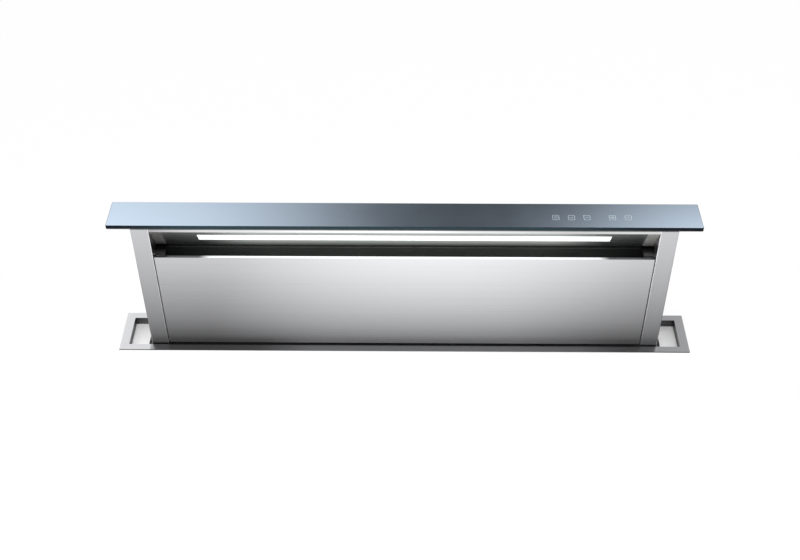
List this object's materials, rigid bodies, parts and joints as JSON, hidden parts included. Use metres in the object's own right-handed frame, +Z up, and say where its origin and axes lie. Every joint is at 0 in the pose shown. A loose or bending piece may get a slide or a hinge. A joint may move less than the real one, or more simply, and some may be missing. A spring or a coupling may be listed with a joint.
{
  "type": "downdraft vent",
  "caption": "Worktop downdraft vent: a glass-topped steel tower with a lit intake slot rises from a trim frame, over a casing with its lift, blower and duct outlet.",
  "frame": {"origin": "centre of the trim frame in the plane of the worktop's upper surface; the tower is drawn fully raised", "axes": "+X to the right of someone facing the vent, along the trim frame; +Y away from them; +Z up"},
  "size_m": [1.18, 0.2666, 1.02],
  "materials": {
    "brushed_stainless": "lengthwise brushed",
    "galvanised_sheet": "galvanised, faint spangle",
    "zinc_fasteners": "bright zinc",
    "hard_chrome": "ground and polished",
    "rolled_screw_steel": "rolled, lightly greased",
    "cast_aluminium": "die cast, bead blasted",
    "filter_aluminium": "expanded mesh",
    "gearmotor_paint": "black, satin",
    "brass_nuts": "turned",
    "white_nylon": "natural nylon",
    "black_plastic": "moulded",
    "grey_plastic": "moulded, fine grain",
    "circuit_board": "solder mask",
    "black_rubber": "matt",
    "frosted_diffuser": "opal",
    "dark_glass": "back-painted, polished",
    "ferrite": "matt dark"
  },
  "bodies": {
    "casing": {"worktop_frame": "brushed_stainless", "flange_seal": "black_rubber", "wiper_seal": "black_rubber", "casing_front": "galvanised_sheet", "casing_rear": "galvanised_sheet", "casing_ends": "galvanised_sheet", "casing_base": "galvanised_sheet", "casing_screws": "zinc_fasteners", "support_legs": "galvanised_sheet", "worktop_clamps": "galvanised_sheet", "clamp_screws": "zinc_fasteners", "guide_rods": "hard_chrome", "top_blocks": "cast_aluminium", "screw_bearings": "rolled_screw_steel", "timing_belt": "black_rubber", "lift_motor": "gearmotor_paint", "limit_switches": "black_plastic", "glide_pads": "white_nylon", "blower_box": "galvanised_sheet", "blower_cover": "galvanised_sheet", "scroll_inlet_plate": "galvanised_sheet", "scroll_shell": "galvanised_sheet", "rubber_mounts": "black_rubber", "fan_motor": "cast_aluminium", "outlet_adapter": "black_plastic", "duct_spigot": "galvanised_sheet", "flap_pins": "zinc_fasteners", "control_box": "grey_plastic", "control_cover": "grey_plastic", "control_board": "circuit_board", "mains_gland": "black_plastic"},
    "tower": {"tower_posts": "brushed_stainless", "tower_back": "brushed_stainless", "tower_lower_front": "brushed_stainless", "head_pan": "brushed_stainless", "fascia": "brushed_stainless", "lamp_diffuser": "frosted_diffuser", "lamp_housing": "black_plastic", "led_board": "circuit_board", "glass_carrier": "cast_aluminium", "touch_board": "circuit_board", "glass_top": "dark_glass", "intake_ledges": "brushed_stainless", "catch_magnets": "ferrite", "lift_carriages": "cast_aluminium", "slide_bushes": "white_nylon", "lift_nuts": "brass_nuts", "grease_filters": "filter_aluminium", "filter_latches": "black_plastic", "filter_rails": "brushed_stainless"},
    "front_panel": {"front_panel": "brushed_stainless", "hinge_pins": "zinc_fasteners"},
    "left_screw": {"left_lead_screw": "rolled_screw_steel", "left_pulley": "cast_aluminium"},
    "right_screw": {"right_lead_screw": "rolled_screw_steel", "right_pulley": "cast_aluminium"},
    "fan_rotor": {"impeller": "black_plastic", "fan_shaft": "rolled_screw_steel"},
    "front_flap": {"front_flap": "galvanised_sheet"},
    "rear_flap": {"rear_flap": "galvanised_sheet"}
  },
  "joints": [
    {"name": "tower_lift", "type": "slide", "parent": "casing", "child": "tower", "axis": [0, 0, 1], "range_m": [-0.3175, 0]},
    {"name": "front_panel_hinge", "type": "hinge", "parent": "tower", "child": "front_panel", "pos_m": [0, -0.03175, 0.0105], "axis": [1, 0, 0], "range_deg": [0, 70]},
    {"name": "left_screw_spin", "type": "hinge", "parent": "casing", "child": "left_screw", "pos_m": [-0.542, 0.018, -0.31], "axis": [0, 0, 1], "continuous": true},
    {"name": "right_screw_spin", "type": "hinge", "parent": "casing", "child": "right_screw", "pos_m": [0.542, 0.018, -0.31], "axis": [0, 0, 1], "continuous": true},
    {"name": "fan_spin", "type": "hinge", "parent": "casing", "child": "fan_rotor", "pos_m": [-0.15, -0.1, -0.4], "axis": [0, 1, 0], "continuous": true},
    {"name": "front_flap_hinge", "type": "hinge", "parent": "casing", "child": "front_flap", "pos_m": [-0.361, -0.1305, -0.315], "axis": [0, 0, -1], "range_deg": [0, 80], "stiffness_Nm_per_rad": 0.02, "springref_deg": -11.46},
    {"name": "rear_flap_hinge", "type": "hinge", "parent": "casing", "child": "rear_flap", "pos_m": [-0.361, -0.1225, -0.315], "axis": [0, 0, 1], "range_deg": [0, 80], "stiffness_Nm_per_rad": 0.02, "springref_deg": -11.46}
  ],
  "couplings": [
    {"joint": "left_screw_spin", "follows": "tower_lift", "rad_per_m": 628.32},
    {"joint": "right_screw_spin", "follows": "tower_lift", "rad_per_m": 628.32}
  ]
}
